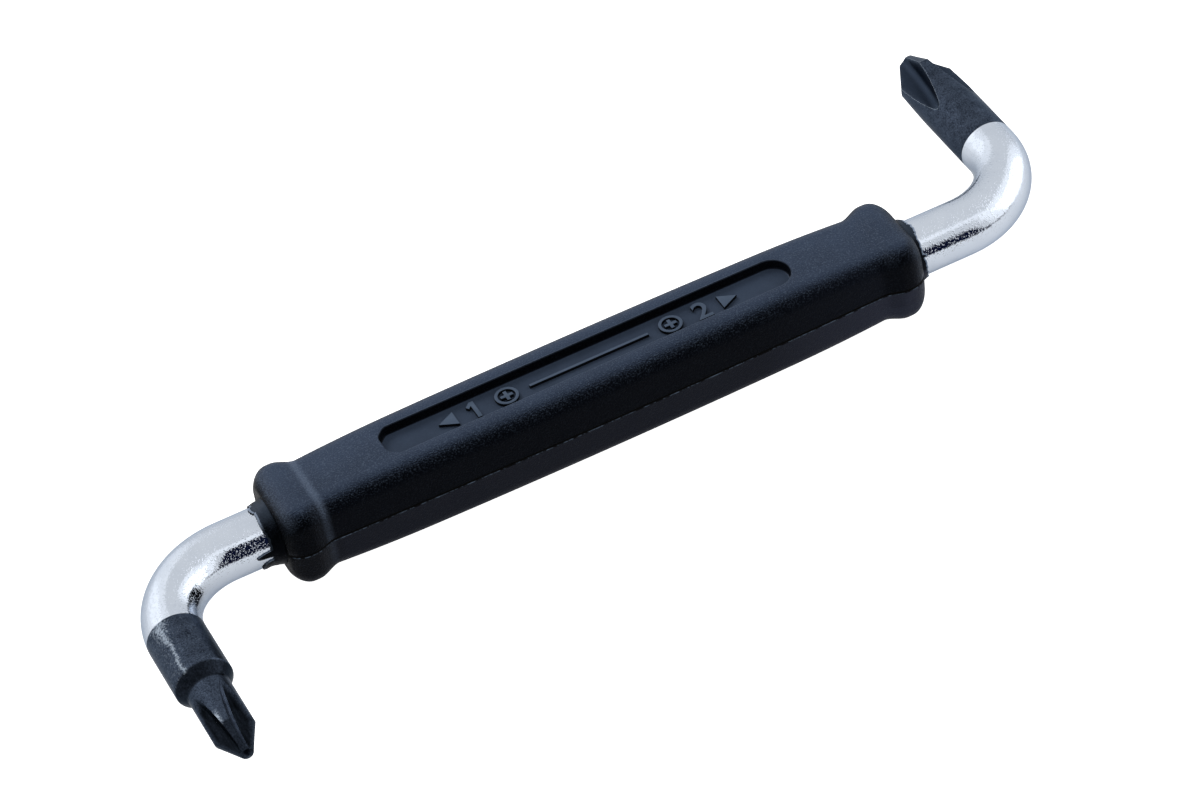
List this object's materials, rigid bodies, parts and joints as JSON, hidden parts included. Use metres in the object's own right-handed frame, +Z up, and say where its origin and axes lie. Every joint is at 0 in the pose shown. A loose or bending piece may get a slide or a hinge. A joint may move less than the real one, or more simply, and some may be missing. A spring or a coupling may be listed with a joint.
{
  "type": "offset screwdriver",
  "caption": "Offset screwdriver: a bent steel bar with a small cross point at one end and a larger one at the other, and a moulded plastic handle between the two bends.",
  "frame": {"origin": "middle of the handle's level underside, on which the tool lies", "axes": "+X along the handle towards the PH2 end, +Y the way the PH2 arm points, +Z up through the handle's marked face"},
  "size_m": [0.1054, 0.0529, 0.0096],
  "materials": {
    "chrome_bar": "satin plating over a fine grained steel bar",
    "black_steel": "semi-matte blue-black finish on ground steel",
    "handle_plastic": "fine spark-eroded grain, moulded"
  },
  "bodies": {
    "root": {"shank": "chrome_bar", "ph1_tip": "black_steel", "ph2_tip": "black_steel", "handle": "handle_plastic"}
  },
  "joints": []
}
